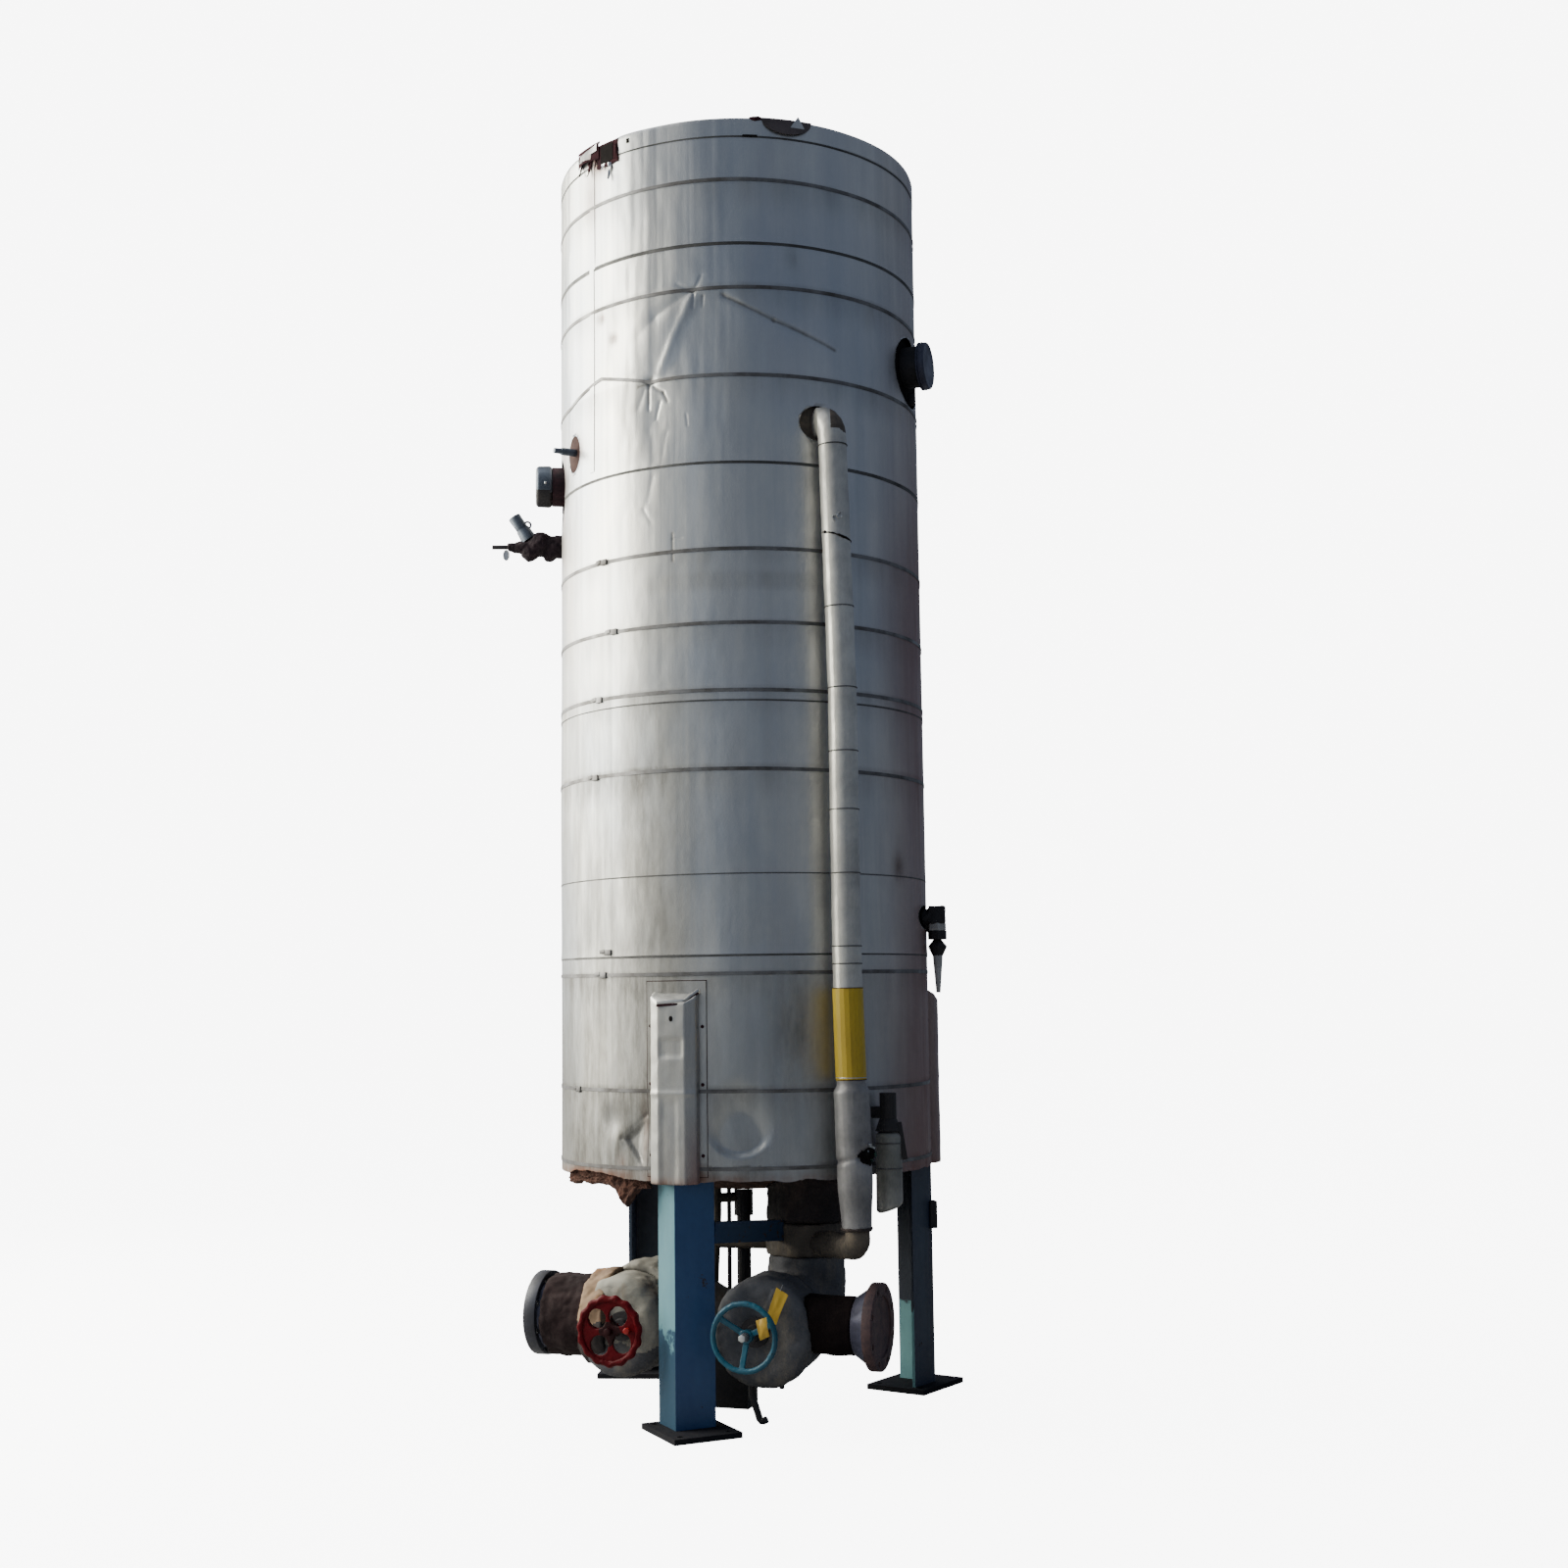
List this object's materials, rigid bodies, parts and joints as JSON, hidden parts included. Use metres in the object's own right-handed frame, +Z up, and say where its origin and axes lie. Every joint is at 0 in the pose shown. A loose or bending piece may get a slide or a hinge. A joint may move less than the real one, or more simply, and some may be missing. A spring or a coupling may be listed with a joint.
{
  "type": "ammonia recirculator",
  "caption": "Upright insulated refrigerant vessel on angle-iron legs, with suction piping, stop valves, handwheels and open pump flanges.",
  "frame": {"origin": "on the floor, under the middle of the object's footprint box", "axes": "+Z up, -Y towards the side that the vent line runs down, +X to the right of it"},
  "size_m": [1.8262, 1.5348, 4.775],
  "materials": {
    "jacket_sheet": "weathered, dull, with dark run-off marks",
    "insulation": "crumbling brown insulation",
    "vessel_steel": "primed plate",
    "leg_paint": "chipped dark blue paint",
    "plate_steel": "dirty, rusty",
    "valve_wrap": "stained insulation wrap",
    "pipe_lagging": "weathered jacketing",
    "lagging_tape": "brown tape",
    "dark_casting": "black, dirty",
    "bare_steel": "dull",
    "flange_steel": "rusty",
    "rusty_pipe": "rust",
    "marker_yellow": "worn band",
    "wheel_blue": "gloss, worn",
    "wheel_red": "gloss, worn"
  },
  "bodies": {
    "skid": {"balance_line": "dark_casting", "base_plate_front": "plate_steel", "base_plate_rear": "plate_steel", "base_plate_right": "plate_steel", "bonnet_left": "dark_casting", "bonnet_right": "dark_casting", "bottom_head": "vessel_steel", "bottom_insulation": "insulation", "cap_right_upper": "bare_steel", "drain_line": "dark_casting", "flange_left": "flange_steel", "flange_right": "flange_steel", "insulation": "insulation", "jacket_course_1": "jacket_sheet", "jacket_course_2": "jacket_sheet", "jacket_course_3": "jacket_sheet", "jacket_course_4": "jacket_sheet", "jacket_course_5": "jacket_sheet", "jacket_top": "jacket_sheet", "leg_cover_front": "jacket_sheet", "leg_cover_rear": "jacket_sheet", "leg_cover_right": "jacket_sheet", "leg_front": "leg_paint", "leg_rear": "leg_paint", "leg_right": "leg_paint", "level_pot": "pipe_lagging", "level_pot_neck": "dark_casting", "level_valve_body": "dark_casting", "level_valve_tail": "lagging_tape", "nozzle_left_rod": "rusty_pipe", "nozzle_left_stub": "rusty_pipe", "nozzle_left_valve": "dark_casting", "nozzle_right_lower": "dark_casting", "nozzle_right_upper": "dark_casting", "oil_box": "dark_casting", "outlet_collar": "lagging_tape", "outlet_pipe": "pipe_lagging", "sample_line": "dark_casting", "side_valve_body": "dark_casting", "side_valve_bonnet": "bare_steel", "side_valve_stem": "dark_casting", "suction_header": "valve_wrap", "support_beam": "leg_paint", "top_head": "vessel_steel", "valve_body_left": "valve_wrap", "valve_body_right": "valve_wrap", "valve_foot": "dark_casting", "valve_neck_left": "valve_wrap", "valve_neck_right": "dark_casting", "vent_marker": "marker_yellow", "vent_pipe": "pipe_lagging", "vent_return": "lagging_tape", "vessel_shell": "vessel_steel"},
    "wheel_left": {"stem_left": "bare_steel", "handwheel_left": "wheel_red"},
    "wheel_right": {"stem_right": "bare_steel", "handwheel_right": "wheel_blue"}
  },
  "joints": [
    {"name": "wheel_left_turn", "type": "hinge", "parent": "skid", "child": "wheel_left", "pos_m": [-0.41785, -0.52771, 0.345], "axis": [-0.3486, -0.9373, 0], "range_deg": [0, 2565]},
    {"name": "wheel_right_turn", "type": "hinge", "parent": "skid", "child": "wheel_right", "pos_m": [0.05735, -0.70443, 0.345], "axis": [-0.3486, -0.9373, 0], "range_deg": [0, 2565]}
  ]
}
